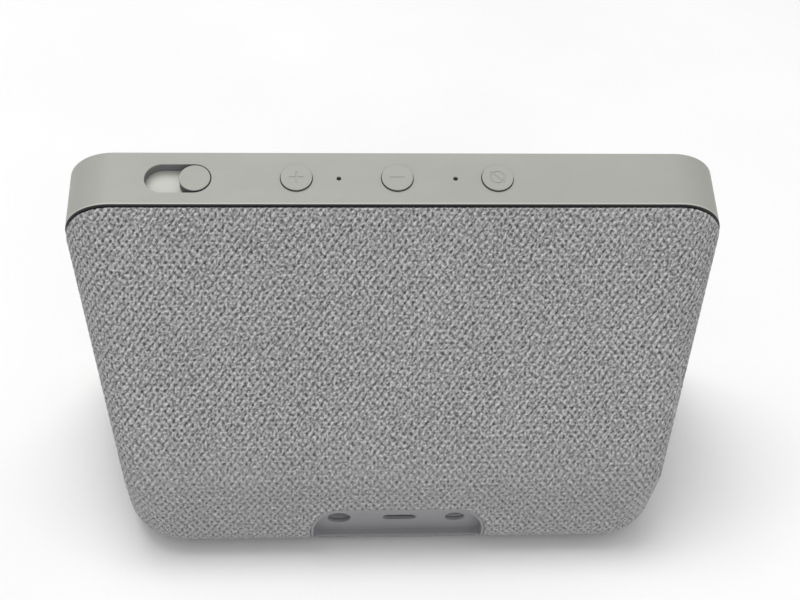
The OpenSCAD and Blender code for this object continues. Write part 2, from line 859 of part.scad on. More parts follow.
front_frame();
cover_glass();
glass_gasket();
lcd_panel();
backlight_plate();
display_bracket();
display_screws();
camera_module();
camera_lens();
shutter_knob();
shutter_blade();
volume_up_button();
volume_down_button();
mic_camera_button();
volume_up_plunger();
volume_down_plunger();
mic_camera_plunger();
tactile_switches();
button_retainer();
button_board();
button_board_screws();
microphones();
mic_gaskets();
main_board();
board_standoffs();
board_screws();
processor();
memory_chips();
shield_can();
thermal_pad();
heat_spreader();
wifi_antennas();
display_ribbon();
camera_ribbon();
button_ribbon();
speaker_box();
speaker_basket();
speaker_gasket();
speaker_yoke();
speaker_magnet();
speaker_top_plate();
voice_coil();
speaker_cone();
dust_cap();
speaker_surround();
speaker_spider();
speaker_leads();
rear_housing();
fabric_cover();
base_plate();
rubber_foot();
base_screws();
port_panel();
port_board();
port_leads();
power_jack();
power_jack_pin();
data_socket();
data_socket_tongue();
audio_jack();
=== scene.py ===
"""The look of the tabletop smart speaker: woven body, moulded frame, glass front, and a soft studio set."""

import json
import math

import bmesh
import bpy
import numpy as np
from mathutils import Matrix, Vector


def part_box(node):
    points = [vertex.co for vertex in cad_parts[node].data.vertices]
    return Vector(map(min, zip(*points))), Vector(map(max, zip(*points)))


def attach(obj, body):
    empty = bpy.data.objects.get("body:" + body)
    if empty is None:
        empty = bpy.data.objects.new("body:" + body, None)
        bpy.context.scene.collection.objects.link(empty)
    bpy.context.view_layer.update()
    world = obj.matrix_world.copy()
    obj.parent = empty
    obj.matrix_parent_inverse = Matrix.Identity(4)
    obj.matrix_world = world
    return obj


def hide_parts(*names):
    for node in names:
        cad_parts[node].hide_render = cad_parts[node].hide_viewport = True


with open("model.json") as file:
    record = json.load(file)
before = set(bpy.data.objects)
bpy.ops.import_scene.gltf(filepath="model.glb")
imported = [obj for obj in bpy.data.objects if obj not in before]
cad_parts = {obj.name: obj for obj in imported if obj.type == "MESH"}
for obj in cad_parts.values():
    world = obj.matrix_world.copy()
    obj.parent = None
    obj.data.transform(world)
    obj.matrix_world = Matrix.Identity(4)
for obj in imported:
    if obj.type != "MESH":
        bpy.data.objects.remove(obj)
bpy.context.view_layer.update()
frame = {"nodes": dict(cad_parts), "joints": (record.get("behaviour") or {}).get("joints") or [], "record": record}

MM = 0.001

# ---- The screen frame's own axes, worked out from the CAD boxes ----

FRAME_LO, FRAME_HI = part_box("front_frame")
PRESS = next(j for j in frame["joints"] if j["name"] == "volume_up_press")["axis"]
UP_SCREEN = -np.array(PRESS)
BACKWARD = np.array([0.0, UP_SCREEN[2], -UP_SCREEN[1]])
TILT = math.asin(UP_SCREEN[1])
FRAME_W = FRAME_HI.x - FRAME_LO.x
FRAME_R = 11 * MM
FRAME_T = 14.2 * MM
SCREEN_ORIGIN = np.array([0.0, FRAME_LO.y, FRAME_LO.z + FRAME_T * math.sin(TILT)])
FRAME_H = (FRAME_HI.z - SCREEN_ORIGIN[2]) / math.cos(TILT)
REAR_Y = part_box("fabric_cover")[1].y
BODY_Z = FRAME_LO.z

# ---- The body's form, as part.scad states it ----

REAR_HALF_W = 63 * MM
REAR_CORNER_R = 14.5 * MM
BOTTOM_R = 8.5 * MM
KNEE_Z = 21 * MM
KNEE_R = 6 * MM
KNEE_INSET = 0.6 * MM
BASE_FRONT = (56 * MM, -16 * MM)
BASE_REAR = (46 * MM, 22.8 * MM)
BASE_R = 5 * MM
BASE_GAP = 0.25 * MM
PORT_ORIGIN = np.array([-0.75 * MM, 33 * MM, 8.8 * MM])
RECESS_HALF_W = 19.75 * MM
RECESS_TOP, RECESS_TOP_R = 6 * MM, 6 * MM
RECESS_BOTTOM, RECESS_BOTTOM_R = -6.95 * MM, 1.5 * MM
RECESS_RIM = 0.7 * MM

# The band of the top strip that holds the openings, how deep they go, and how far out they lie
OPENINGS_BEHIND = (3.1 * MM, 11.1 * MM)
OPENINGS_DEEP = (0.4 * MM, 6 * MM)
OPENINGS_ACROSS = 60 * MM
# The shutter's floor plate below the strip
KNOB_FLOOR = 2.6 * MM
# Where the socket blocks begin
SOCKETS_Y = 17 * MM

# ---- The weave ----

YARN_PITCH = 1.70 * MM
YARN_ROW = 1.16 * MM
STEP_U = YARN_PITCH / 4
STEP_S = YARN_ROW / 3
RELIEF = 0.17 * MM
SEAM_GAP = 0.4 * MM
SEAM_ROUND = 0.8 * MM
KNEE_S = 63 * MM
TWILL = 0.15
TWILL_FADE = 14 * MM
HEM = 0.8 * MM

# The sheet's rings under the body, the middle they run round, and the length down the weave where they start
UNDER_RINGS = 4
UNDER_MIDDLE_Y = 3 * MM
FRONT_EDGE_S = 120 * MM

# The weave is left flat near the seam, near the recess and near the underside
SEAM_FADE = 1.4 * MM
RECESS_FADE = 1.2 * MM
UNDER_FADE = 0.5 * MM
YARN_JITTER = 0.012 * MM


def on_screen(x, n, u):
    """Points given across the screen, square to it and up it."""
    x, n, u = np.broadcast_arrays(x, n, u)
    along = SCREEN_ORIGIN + n[..., None] * BACKWARD + u[..., None] * UP_SCREEN
    return along + x[..., None] * np.array([1.0, 0, 0])


def behind_screen(points):
    """How far points lie behind the frame's front plane."""
    return (points - SCREEN_ORIGIN) @ BACKWARD


# ---- Fabric: the outer surface in level rows, like a knitted sleeve ----

def arc(centre, r, start, end, steps):
    a = np.radians(np.linspace(start, end, steps))
    return np.stack([centre[0] + r * np.cos(a), centre[1] + r * np.sin(a)], axis=1)


def rim_outline(steps=28):
    w, r = FRAME_W / 2 - FRAME_R, FRAME_R
    corners = [(w, FRAME_H - r, 0), (-w, FRAME_H - r, 90), (-w, r, 180), (w, r, 270)]
    return np.concatenate([arc((x, y), r, a, a + 90, steps) for x, y, a in corners])


def body_hull():
    """The vertices and edges of the convex body behind the frame."""
    rim = rim_outline()
    points = [on_screen(rim[:, 0], n, rim[:, 1]) for n in (FRAME_T - 3 * MM, FRAME_T + 0.4 * MM)]
    for side in (-1, 1):
        turn = np.radians(np.linspace(0, 90, 25))[:, None]
        low = np.radians(np.linspace(-90, 0, 21))[None, :]
        r = np.maximum(REAR_CORNER_R - BOTTOM_R + BOTTOM_R * np.cos(low), 0)
        x = REAR_HALF_W - REAR_CORNER_R + r * np.cos(turn)
        y = REAR_Y - REAR_CORNER_R + r * np.sin(turn)
        z = BODY_Z + BOTTOM_R + BOTTOM_R * np.sin(low) + 0 * turn
        points.append(np.stack([side * x, y, z], axis=-1).reshape(-1, 3))
        high = np.radians(np.linspace(0, 90, 21))[None, :]
        x = REAR_HALF_W - KNEE_R - KNEE_INSET + KNEE_R * np.cos(high) * np.cos(turn)
        y = REAR_Y - KNEE_R + KNEE_R * np.cos(high) * np.sin(turn)
        z = KNEE_Z + KNEE_R * np.sin(high) + 0 * turn
        points.append(np.stack([side * x, y, z], axis=-1).reshape(-1, 3))
    bm = bmesh.new()
    for p in np.concatenate(points):
        bm.verts.new(p)
    bmesh.ops.convex_hull(bm, input=bm.verts, use_existing_faces=False)
    spare = [v for v in bm.verts if not v.link_faces]
    bmesh.ops.delete(bm, geom=spare, context="VERTS")
    bm.verts.index_update()
    co = np.array([v.co for v in bm.verts])
    edges = np.array([[e.verts[0].index, e.verts[1].index] for e in bm.edges])
    bm.free()
    return co, edges


def convex_outline(points):
    """The convex outline of 2D points, anticlockwise."""
    points = points[np.lexsort((points[:, 1], points[:, 0]))]
    ends = []
    for run in (points, points[::-1]):
        line = []
        for p in run:
            while len(line) > 1:
                a, b = line[-1] - line[-2], p - line[-2]
                if a[0] * b[1] - a[1] * b[0] > 1e-14:
                    break
                line.pop()
            line.append(p)
        ends += line[:-1]
    return np.array(ends)


def level_outline(co, edges, z):
    """Half of the body's outline at a height, from the middle of the back round the +X side."""
    a, b = co[edges[:, 0]], co[edges[:, 1]]
    crossing = (a[:, 2] - z) * (b[:, 2] - z) <= 0
    a, b = a[crossing], b[crossing]
    run = b[:, 2] - a[:, 2]
    t = np.where(np.abs(run) < 1e-12, 0.0, (z - a[:, 2]) / np.where(np.abs(run) < 1e-12, 1, run))
    ring = convex_outline((a + t[:, None] * (b - a))[:, :2])
    half = ring[ring[:, 0] > 1e-6]
    half = half[np.argsort(-np.arctan2(half[:, 1] - ring[:, 1].mean(), half[:, 0]))]
    return np.concatenate([[[0, ring[:, 1].max()]], half, [[0, ring[:, 1].min()]]])


def row_heights(co, edges):
    """Heights of the rows, one step apart along the middle of the back, down to the underside."""
    z = np.linspace(co[:, 2].max() - 1e-5, BODY_Z + 1e-6, 1400)
    # Close together near the underside, where the back turns under
    z = np.unique(np.concatenate([z, BODY_Z + 1e-6 + np.linspace(0, 1, 60) ** 3 * BOTTOM_R]))[::-1]
    y = np.array([level_outline(co, edges, h)[0, 1] for h in z])
    start = int(np.argmax(behind_screen(np.stack([0 * y, y, z], axis=1)) > FRAME_T))
    along = np.concatenate([[0], np.cumsum(np.hypot(np.diff(y), np.diff(z)))])
    along -= along[start]
    count = int(along[-1] / STEP_S)
    wanted = np.concatenate([np.arange(-2, count) * STEP_S, [along[-1]]])
    return np.interp(wanted, along, z), wanted


def weave_height(u, s):
    """Relief of the weave from -1 to 1: yarn humps with pits between them, drawn out aslant on the slope."""
    across, down = 2 * math.pi * u / YARN_PITCH, math.pi * s / YARN_ROW
    lean = TWILL * np.clip((KNEE_S - s) / TWILL_FADE, 0, 1)
    c = (0.5 - lean) * np.cos(across + down) + (0.5 + lean) * np.cos(across - down)
    return 1 - 2 * ((1 - c) / 2) ** 1.8


def smooth(x):
    x = np.clip(x, 0, 1)
    return x * x * (3 - 2 * x)


def recess_outline():
    """The socket recess with the panel's rim, as a convex outline in the panel's own plane."""
    circles = []
    for side in (-1, 1):
        for half_w, z, r in (
            (RECESS_HALF_W - RECESS_TOP_R, RECESS_TOP - RECESS_TOP_R, RECESS_TOP_R),
            (RECESS_HALF_W - RECESS_BOTTOM_R, RECESS_BOTTOM + RECESS_BOTTOM_R, RECESS_BOTTOM_R),
        ):
            circles.append(arc((side * half_w, z), r + RECESS_RIM, 0, 360, 97))
    return convex_outline(np.concatenate(circles))


def to_outline(points, outline):
    """Signed distance to a convex anticlockwise outline, negative inside, and the nearest point on it."""
    a, b = outline, np.roll(outline, -1, axis=0)
    d = b - a
    rel = points[:, None] - a
    t = np.clip((rel * d).sum(2) / (d * d).sum(1), 0, 1)
    near = a + t[..., None] * d
    far = np.linalg.norm(points[:, None] - near, axis=2)
    best = far.argmin(1)
    pick = np.arange(len(points))
    inside = (d[:, 0] * rel[..., 1] - d[:, 1] * rel[..., 0] > 0).all(1)
    return np.where(inside, -1, 1) * far[pick, best], near[pick, best]


def base_opening(angles, centre_y):
    """Points of the base opening's edge in the given directions from the middle."""
    circles = [
        arc((side * x, y - centre_y), BASE_R + BASE_GAP, 0, 360, 97)
        for side in (-1, 1)
        for x, y in (BASE_FRONT, BASE_REAR)
    ]
    ring = convex_outline(np.concatenate(circles))
    ring = np.concatenate([ring, ring[:1]])
    fine = np.concatenate([np.linspace(p, q, 40)[:-1] for p, q in zip(ring[:-1], ring[1:])])
    at = np.arctan2(fine[:, 1], fine[:, 0])
    order = np.argsort(at)
    r = np.interp(angles, at[order], np.hypot(fine[:, 0], fine[:, 1])[order], period=2 * math.pi)
    return np.stack([r * np.cos(angles), r * np.sin(angles) + centre_y], axis=1)


def woven_grid():
    """Points, outward normals and weave coordinates of the cover in rows and columns, untrimmed."""
    co, edges = body_hull()
    heights, s = row_heights(co, edges)
    rows = []
    for z in heights:
        half = level_outline(co, edges, z)
        along = np.concatenate([[0], np.cumsum(np.hypot(*np.diff(half, axis=0).T))])
        n = behind_screen(np.column_stack([half, np.full(len(half), z)]))
        # Stops where the outline has passed well beyond the frame's rear face
        passed = np.nonzero(n < FRAME_T - 2 * MM)[0]
        end = along[passed[0]] if len(passed) else along[-1]
        rows.append((half, along, end))
    columns = int(max(end for _, _, end in rows) / STEP_U) + 1
    u = np.arange(columns + 1) * STEP_U
    right = []
    for (half, along, _), z in zip(rows, heights):
        x, y = (np.interp(u, along, half[:, k]) for k in (0, 1))
        right.append(np.column_stack([x, y, np.full(len(u), z)]))
    right = np.array(right)
    used = np.array([u <= end for _, _, end in rows])
    mirror = np.array([-1.0, 1, 1])
    points = np.concatenate([right[:, :0:-1] * mirror, right], axis=1)
    used = np.concatenate([used[:, :0:-1], used], axis=1)
    u = np.concatenate([-u[:0:-1], u])
    normals = np.cross(np.gradient(points, axis=1), np.gradient(points, axis=0))
    normals /= np.maximum(np.linalg.norm(normals, axis=2), 1e-12)[..., None]
    middle = points.shape[1] // 2
    if normals[len(heights) // 3, middle, 1] < 0:
        normals = -normals
    return points, normals, used, u, s


def woven_cover():
    """The fabric as one trimmed sheet with the weave's relief, hemmed at the recess and the base opening."""
    points, normals, used, u, s = woven_grid()
    rows, columns = points.shape[:2]
    flat_p, flat_n = points.reshape(-1, 3), normals.reshape(-1, 3)
    uu, ss = np.meshgrid(u, s)
    rel = flat_p - PORT_ORIGIN
    panel = np.column_stack([rel[:, 0], rel @ UP_SCREEN])
    outline = recess_outline()
    close = (np.abs(panel[:, 0]) < 26 * MM) & (flat_p[:, 1] > 20 * MM) & (panel[:, 1] < 12 * MM)
    distance = np.full(len(flat_p), 1.0)
    nearest = panel.copy()
    distance[close], nearest[close] = to_outline(panel[close], outline)

    fade = smooth((behind_screen(flat_p) - FRAME_T) / SEAM_FADE) * smooth(distance / RECESS_FADE)
    fade *= smooth((flat_p[:, 2] - BODY_Z) / UNDER_FADE)
    lift = (weave_height(uu.ravel(), ss.ravel()) - 0.4) * RELIEF * fade
    rng = np.random.default_rng(7)
    lift += rng.normal(0, YARN_JITTER, len(lift)) * fade
    inside = distance < 0
    move = (nearest - panel) * inside[:, None]
    slip = -(move[:, 0] * flat_n[:, 0] + move[:, 1] * (flat_n @ UP_SCREEN))
    slip /= np.where(inside, flat_n @ BACKWARD, 1)
    shown = flat_p + flat_n * lift[:, None]
    shown += move[:, :1] * np.array([1.0, 0, 0]) + move[:, 1:] * UP_SCREEN + slip[:, None] * BACKWARD

    index = np.arange(rows * columns).reshape(rows, columns)
    quads = np.stack([index[:-1, :-1], index[:-1, 1:], index[1:, 1:], index[1:, :-1]], axis=-1).reshape(-1, 4)
    quads = quads[used.ravel()[quads].all(1) & ~inside[quads].all(1)]
    keep, quads = np.unique(quads, return_inverse=True)
    quads = quads.reshape(-1, 4)
    mesh = bpy.data.meshes.new("fabric_cover_woven")
    mesh.from_pydata(shown[keep].tolist(), [], quads.tolist())
    weave = mesh.attributes.new("weave", "FLOAT_VECTOR", "POINT")
    hole = distance < 1e-9
    data = np.column_stack([uu.ravel()[keep], ss.ravel()[keep], hole[keep]])
    weave.data.foreach_set("vector", data.astype(np.float32).ravel())

    bm = bmesh.new()
    bm.from_mesh(mesh)
    layer = bm.verts.layers.float_vector["weave"]
    seam = SCREEN_ORIGIN + (FRAME_T + SEAM_GAP) * BACKWARD
    bmesh.ops.bisect_plane(
        bm, geom=bm.verts[:] + bm.edges[:] + bm.faces[:], dist=1e-7, plane_co=seam, plane_no=BACKWARD,
        clear_inner=True,
    )
    bmesh.ops.dissolve_degenerate(bm, dist=1e-6, edges=bm.edges)
    opening_edges = close_underside(bm, layer)
    hem(bm, layer, opening_edges)
    bmesh.ops.recalc_face_normals(bm, faces=bm.faces)
    top = max(bm.faces, key=lambda f: f.calc_center_median().y)
    if top.normal.y < 0:
        bmesh.ops.reverse_faces(bm, faces=bm.faces)
    bm.to_mesh(mesh)
    bm.free()
    round_seam(mesh)
    mesh.shade_smooth()
    return mesh


def close_underside(bm, layer):
    """Carries the sheet on under the body, in a few rings, to the base plate's opening. Returns that edge."""
    bm.verts.ensure_lookup_table()
    low = [v for v in bm.verts if v.co.z < BODY_Z + 5e-6]
    centre_y = UNDER_MIDDLE_Y
    front_y = min(v.co.y for v in low)
    end_x = max(abs(v.co.x) for v in low if v.co.y < front_y + 0.2 * MM)
    front = []
    count = int(2 * end_x / YARN_PITCH)
    for x in np.linspace(-end_x, end_x, count + 1)[1:-1]:
        v = bm.verts.new((x, front_y, BODY_Z + 1e-6))
        v[layer] = (x, FRONT_EDGE_S, 0)
        front.append(v)
    loop = low + front
    loop.sort(key=lambda v: math.atan2(v.co.y - centre_y, v.co.x))
    angles = np.array([math.atan2(v.co.y - centre_y, v.co.x) for v in loop])
    inner = base_opening(angles, centre_y)
    previous = loop
    for k in range(1, UNDER_RINGS + 1):
        t = k / UNDER_RINGS
        ring = []
        for v, (x, y) in zip(loop, inner):
            w = bm.verts.new((v.co.x * (1 - t) + x * t, v.co.y * (1 - t) + y * t, BODY_Z))
            w[layer] = (v[layer].x, v[layer].y + t * math.hypot(x - v.co.x, y - v.co.y), 0)
            ring.append(w)
        for i in range(len(loop)):
            j = (i + 1) % len(loop)
            bm.faces.new((previous[i], previous[j], ring[j], ring[i]))
        previous = ring
    return previous


def hem(bm, layer, opening):
    """Turns the cut edges in: up beside the base plate, and forward beside the socket panel."""
    opening = set(opening)
    for towards, chosen in (
        (Vector((0, 0, HEM)), lambda v: v in opening),
        (Vector(-HEM * BACKWARD), lambda v: v[layer].z > 0.5),
    ):
        edges = [e for e in bm.edges if len(e.link_faces) == 1 and all(chosen(v) for v in e.verts)]
        made = bmesh.ops.extrude_edge_only(bm, edges=edges)["geom"]
        moved = [v for v in made if isinstance(v, bmesh.types.BMVert)]
        bmesh.ops.translate(bm, verts=moved, vec=towards)


def round_seam(mesh):
    """Draws the sheet in where it meets the frame, so that the seam is a soft groove."""
    co = np.zeros(len(mesh.vertices) * 3)
    mesh.vertices.foreach_get("co", co)
    co = co.reshape(-1, 3)
    rel = co - SCREEN_ORIGIN
    place = np.column_stack([rel[:, 0], rel @ UP_SCREEN - FRAME_H / 2])
    q = np.abs(place) - np.array([FRAME_W / 2 - FRAME_R, FRAME_H / 2 - FRAME_R])
    both = (q > 0).all(1)
    out = np.where(both[:, None], np.maximum(q, 0), np.where(q[:, :1] > q[:, 1:], [1.0, 0], [0, 1.0]))
    out /= np.linalg.norm(out, axis=1)[:, None]
    out *= np.sign(place)
    depth = np.clip(SEAM_ROUND + SEAM_GAP - (behind_screen(co) - FRAME_T), 0, SEAM_ROUND)
    inward = SEAM_ROUND - np.sqrt(SEAM_ROUND**2 - depth**2)
    flat_under = co[:, 2] < BODY_Z + 0.3 * MM
    inward[flat_under] = 0
    co -= inward[:, None] * (out[:, :1] * np.array([1.0, 0, 0]) + out[:, 1:] * UP_SCREEN)
    mesh.vertices.foreach_set("co", co.ravel())


mesh = woven_cover()
cover = bpy.data.objects.new("fabric_cover_woven", mesh)
bpy.context.scene.collection.objects.link(cover)

# ---- Materials ----

GREY_WARM = (0.36, 0.362, 0.330)
GLASS_BLACK = (0.006, 0.006, 0.008)


def new_material(name):
    m = bpy.data.materials.new(name)
    m.use_nodes = True
    tree = m.node_tree
    return m, tree, tree.nodes["Principled BSDF"]


def add(tree, kind, **settings):
    node = tree.nodes.new(kind)
    for key, value in settings.items():
        setattr(node, key, value)
    return node


def join(tree, source, target):
    tree.links.new(source, target)


def noise(tree, vector, scale, detail=3.0, rough=0.55, stretch=None):
    """Noise read from a place, at a number of waves per metre, and drawn out along an axis by stretch."""
    node = add(tree, "ShaderNodeTexNoise")
    node.inputs["Scale"].default_value = scale
    node.inputs["Detail"].default_value = detail
    node.inputs["Roughness"].default_value = rough
    if stretch:
        turn = add(tree, "ShaderNodeMapping")
        turn.inputs["Scale"].default_value = stretch
        join(tree, vector, turn.inputs["Vector"])
        vector = turn.outputs["Vector"]
    join(tree, vector, node.inputs["Vector"])
    return node.outputs["Fac"]


def ramp(tree, value, low, high, stops=(0.3, 0.7)):
    """A colour between low and high as value goes from the first stop to the second."""
    node = add(tree, "ShaderNodeValToRGB")
    for element, place, colour in zip(node.color_ramp.elements, stops, (low, high)):
        element.position = place
        element.color = (*colour, 1)
    join(tree, value, node.inputs["Fac"])
    return node.outputs["Color"]


def between(tree, value, low, high, start=0.3, end=0.7):
    """value from start..end turned into low..high."""
    node = add(tree, "ShaderNodeMapRange")
    for key, number in (("From Min", start), ("From Max", end), ("To Min", low), ("To Max", high)):
        node.inputs[key].default_value = number
    join(tree, value, node.inputs["Value"])
    return node.outputs["Result"]


def mix(tree, a, b, factor, blend="MIX"):
    """Two colours mixed by a factor, which is a number or an output."""
    node = add(tree, "ShaderNodeMix", data_type="RGBA", blend_type=blend)
    for key, value in (("Factor", factor), ("A", a), ("B", b)):
        socket = next(i for i in node.inputs if i.name == key and i.enabled)
        if isinstance(value, bpy.types.NodeSocket):
            join(tree, value, socket)
        elif key == "Factor":
            socket.default_value = value
        else:
            socket.default_value = (*value, 1)
    return next(o for o in node.outputs if o.enabled)


def maths(tree, operation, a, b=None, c=None):
    node = add(tree, "ShaderNodeMath", operation=operation)
    for socket, value in zip(node.inputs, (a, b, c)):
        if isinstance(value, bpy.types.NodeSocket):
            join(tree, value, socket)
        elif value is not None:
            socket.default_value = value
    return node.outputs["Value"]


def bump(tree, shader, height, depth, strength, after=None):
    node = add(tree, "ShaderNodeBump")
    node.inputs["Distance"].default_value = depth
    node.inputs["Strength"].default_value = strength
    join(tree, height, node.inputs["Height"])
    if after:
        join(tree, after, node.inputs["Normal"])
    join(tree, node.outputs["Normal"], shader.inputs["Normal"])


def worn_edges(tree):
    """From 0 to 1 towards the outer edges."""
    shape = add(tree, "ShaderNodeNewGeometry")
    return between(tree, shape.outputs["Pointiness"], 0.0, 1.0, 0.515, 0.58)


def apart(tree, place, axis):
    """One coordinate of a place."""
    node = add(tree, "ShaderNodeSeparateXYZ")
    join(tree, place, node.inputs[0])
    return node.outputs[axis]


def distance_along(tree, place, direction):
    """Distance from the frame's lower front edge along a direction of the screen frame."""
    node = add(tree, "ShaderNodeVectorMath", operation="DOT_PRODUCT")
    join(tree, place, node.inputs[0])
    node.inputs[1].default_value = tuple(direction)
    return maths(tree, "SUBTRACT", node.outputs["Value"], float(SCREEN_ORIGIN @ direction))


def band(tree, value, start, end, soft=0.15 * MM):
    """1 where value lies from start to end, and 0 outside."""
    rise = between(tree, value, 0.0, 1.0, start - soft, start)
    fall = between(tree, value, 1.0, 0.0, end, end + soft)
    return maths(tree, "MULTIPLY", rise, fall)


def sunken(tree, place):
    """How far a place lies below the plane of the top strip."""
    return maths(tree, "SUBTRACT", float(FRAME_H), distance_along(tree, place, UP_SCREEN))


def frame_painted_light(tree, place, base):
    """Painted shade on the walls inside the strip's openings and at the seam, and a painted highlight beside the
    seam.
    """
    behind = distance_along(tree, place, BACKWARD)
    across = maths(tree, "ABSOLUTE", apart(tree, place, "X"))
    low = band(tree, sunken(tree, place), *OPENINGS_DEEP)
    inside = maths(tree, "MULTIPLY", band(tree, behind, *OPENINGS_BEHIND), low)
    near = between(tree, across, 1.0, 0.0, OPENINGS_ACROSS, OPENINGS_ACROSS + 1 * MM)
    inside = maths(tree, "MULTIPLY", inside, near)
    # Painted shade on the walls inside the openings
    base = mix(tree, base, (0.16, 0.16, 0.18), maths(tree, "MULTIPLY", inside, 0.85))
    # Painted highlight along the frame's rear edge, beside the seam
    painted_highlight = band(tree, behind, FRAME_T - 0.42 * MM, FRAME_T - 0.26 * MM, 0.06 * MM)
    base = mix(tree, base, [c * 1.4 for c in GREY_WARM], painted_highlight)
    # Painted shade on the frame's rear face, in the seam's groove
    painted_seam_shade = band(tree, behind, FRAME_T - 0.06 * MM, FRAME_T + 5 * MM, 0.05 * MM)
    return mix(tree, base, (0.05, 0.05, 0.05), painted_seam_shade)


def cap_painted_shade(tree, place, base):
    """Painted shade on the sides below a cap's rounded edge."""
    # Painted shade on the cap's sides
    sides = band(tree, sunken(tree, place), -0.30 * MM, 6 * MM, 0.05 * MM)
    return mix(tree, base, (0.08, 0.08, 0.08), sides)


def knob_painted_light(tree, place, base):
    """Painted shade on the shutter knob's sides, and painted light that makes the floor plate below it paler."""
    deep = sunken(tree, place)
    # Painted shade on the knob's sides
    sides = band(tree, deep, -0.08 * MM, KNOB_FLOOR - 0.25 * MM, 0.04 * MM)
    base = mix(tree, base, (0.10, 0.10, 0.11), sides)
    # Painted light on the floor plate
    plate = band(tree, deep, KNOB_FLOOR - 0.1 * MM, 9 * MM, 0.1 * MM)
    return mix(tree, base, [c * 1.6 for c in GREY_WARM], plate)


def shell_painted_shade(tree, place, base):
    """Painted shade on the shell where it enters the frame, darkening the seam's groove."""
    # Painted shade near the seam
    entering = between(tree, distance_along(tree, place, BACKWARD), 1.0, 0.0, 16 * MM, 18 * MM)
    return mix(tree, base, (0.045, 0.045, 0.045), entering)


def socket_painted_light(tree, place, base):
    """Painted light on the socket blocks at the back, which makes them grey, unlike the other black mouldings."""
    # Painted light on the sockets
    rear = between(tree, apart(tree, place, "Y"), 0.0, 1.0, SOCKETS_Y, SOCKETS_Y + 1 * MM)
    return mix(tree, base, (0.36, 0.365, 0.375), rear)


def moulded(name, colour, rough=0.5, grain=9000.0, depth=0.02 * MM, spread=0.06, wear=0.08,
            specular=0.45, shades=None):
    """Moulded plastic: fine spark-eroded grain, slow colour drift, faint scuffs, and paler worn edges."""
    m, tree, shader = new_material(name)
    place = add(tree, "ShaderNodeTexCoord").outputs["Object"]
    slow = noise(tree, place, 35.0, 4.0)
    dark = [c * (1 - spread) for c in colour]
    pale = [min(1, c * (1 + spread)) for c in colour]
    base = ramp(tree, slow, dark, pale)
    scuff = noise(tree, place, 260.0, 6.0, 0.7, stretch=(0.25, 1, 1))
    base = mix(tree, base, [c * 1.12 for c in colour], between(tree, scuff, 0, 0.3, 0.58, 0.72))
    if wear:
        worn = maths(tree, "MULTIPLY", worn_edges(tree), wear * 4)
        base = mix(tree, base, [min(1, c * 1.35) for c in colour], worn)
    # Painted shade and painted light, where the piece has them
    if shades:
        base = shades(tree, place, base)
    join(tree, base, shader.inputs["Base Color"])
    fine = noise(tree, place, grain, 2.0)
    join(tree, between(tree, scuff, rough - 0.06, rough + 0.07), shader.inputs["Roughness"])
    shader.inputs["Specular IOR Level"].default_value = specular
    bump(tree, shader, fine, depth, 0.5)
    return m


def metal(name, colour, rough=0.35, stretch=(0.05, 1, 1), depth=0.01 * MM, streaks=2600.0, metallic=1.0):
    """Rolled, pressed or plated metal: fine drawn streaks and slow tarnish."""
    m, tree, shader = new_material(name)
    place = add(tree, "ShaderNodeTexCoord").outputs["Object"]
    lines = noise(tree, place, streaks, 3.0, stretch=stretch)
    stain = noise(tree, place, 90.0, 5.0)
    base = ramp(tree, lines, [c * 0.86 for c in colour], colour)
    base = mix(tree, base, [c * 0.7 for c in colour], between(tree, stain, 0, 0.35, 0.5, 0.75))
    join(tree, base, shader.inputs["Base Color"])
    shader.inputs["Metallic"].default_value = metallic
    join(tree, between(tree, lines, rough - 0.07, rough + 0.1), shader.inputs["Roughness"])
    bump(tree, shader, lines, depth, 0.5)
    return m


def rubber(name, colour, rough=0.8, pores=5200.0):
    """Soft elastomer or foam: fine pores and a dusty bloom."""
    m, tree, shader = new_material(name)
    place = add(tree, "ShaderNodeTexCoord").outputs["Object"]
    dust = noise(tree, place, 120.0, 6.0, 0.7)
    base = ramp(tree, dust, colour, [min(1, c * 1.7 + 0.01) for c in colour])
    join(tree, base, shader.inputs["Base Color"])
    join(tree, between(tree, dust, rough - 0.08, rough + 0.1), shader.inputs["Roughness"])
    shader.inputs["Specular IOR Level"].default_value = 0.3
    bump(tree, shader, noise(tree, place, pores, 2.0), 0.03 * MM, 0.6)
    return m


def circuit(name):
    """Green solder mask with copper tracks showing faintly and bright round pads."""
    m, tree, shader = new_material(name)
    place = add(tree, "ShaderNodeTexCoord").outputs["Object"]
    tracks = add(tree, "ShaderNodeTexVoronoi", distance="MANHATTAN", feature="DISTANCE_TO_EDGE")
    tracks.inputs["Scale"].default_value = 420.0
    join(tree, place, tracks.inputs["Vector"])
    line = between(tree, tracks.outputs["Distance"], 1.0, 0.0, 0.02, 0.06)
    pads = add(tree, "ShaderNodeTexVoronoi")
    pads.inputs["Scale"].default_value = 700.0
    pads.inputs["Randomness"].default_value = 0.6
    join(tree, place, pads.inputs["Vector"])
    pad = between(tree, pads.outputs["Distance"], 1.0, 0.0, 0.14, 0.18)
    base = mix(tree, (0.012, 0.10, 0.045), (0.03, 0.19, 0.085), line)
    base = mix(tree, base, (0.62, 0.55, 0.36), pad)
    join(tree, base, shader.inputs["Base Color"])
    join(tree, between(tree, line, 0.32, 0.42, 0, 1), shader.inputs["Roughness"])
    bump(tree, shader, maths(tree, "MAXIMUM", line, pad), 0.03 * MM, 0.6)
    return m


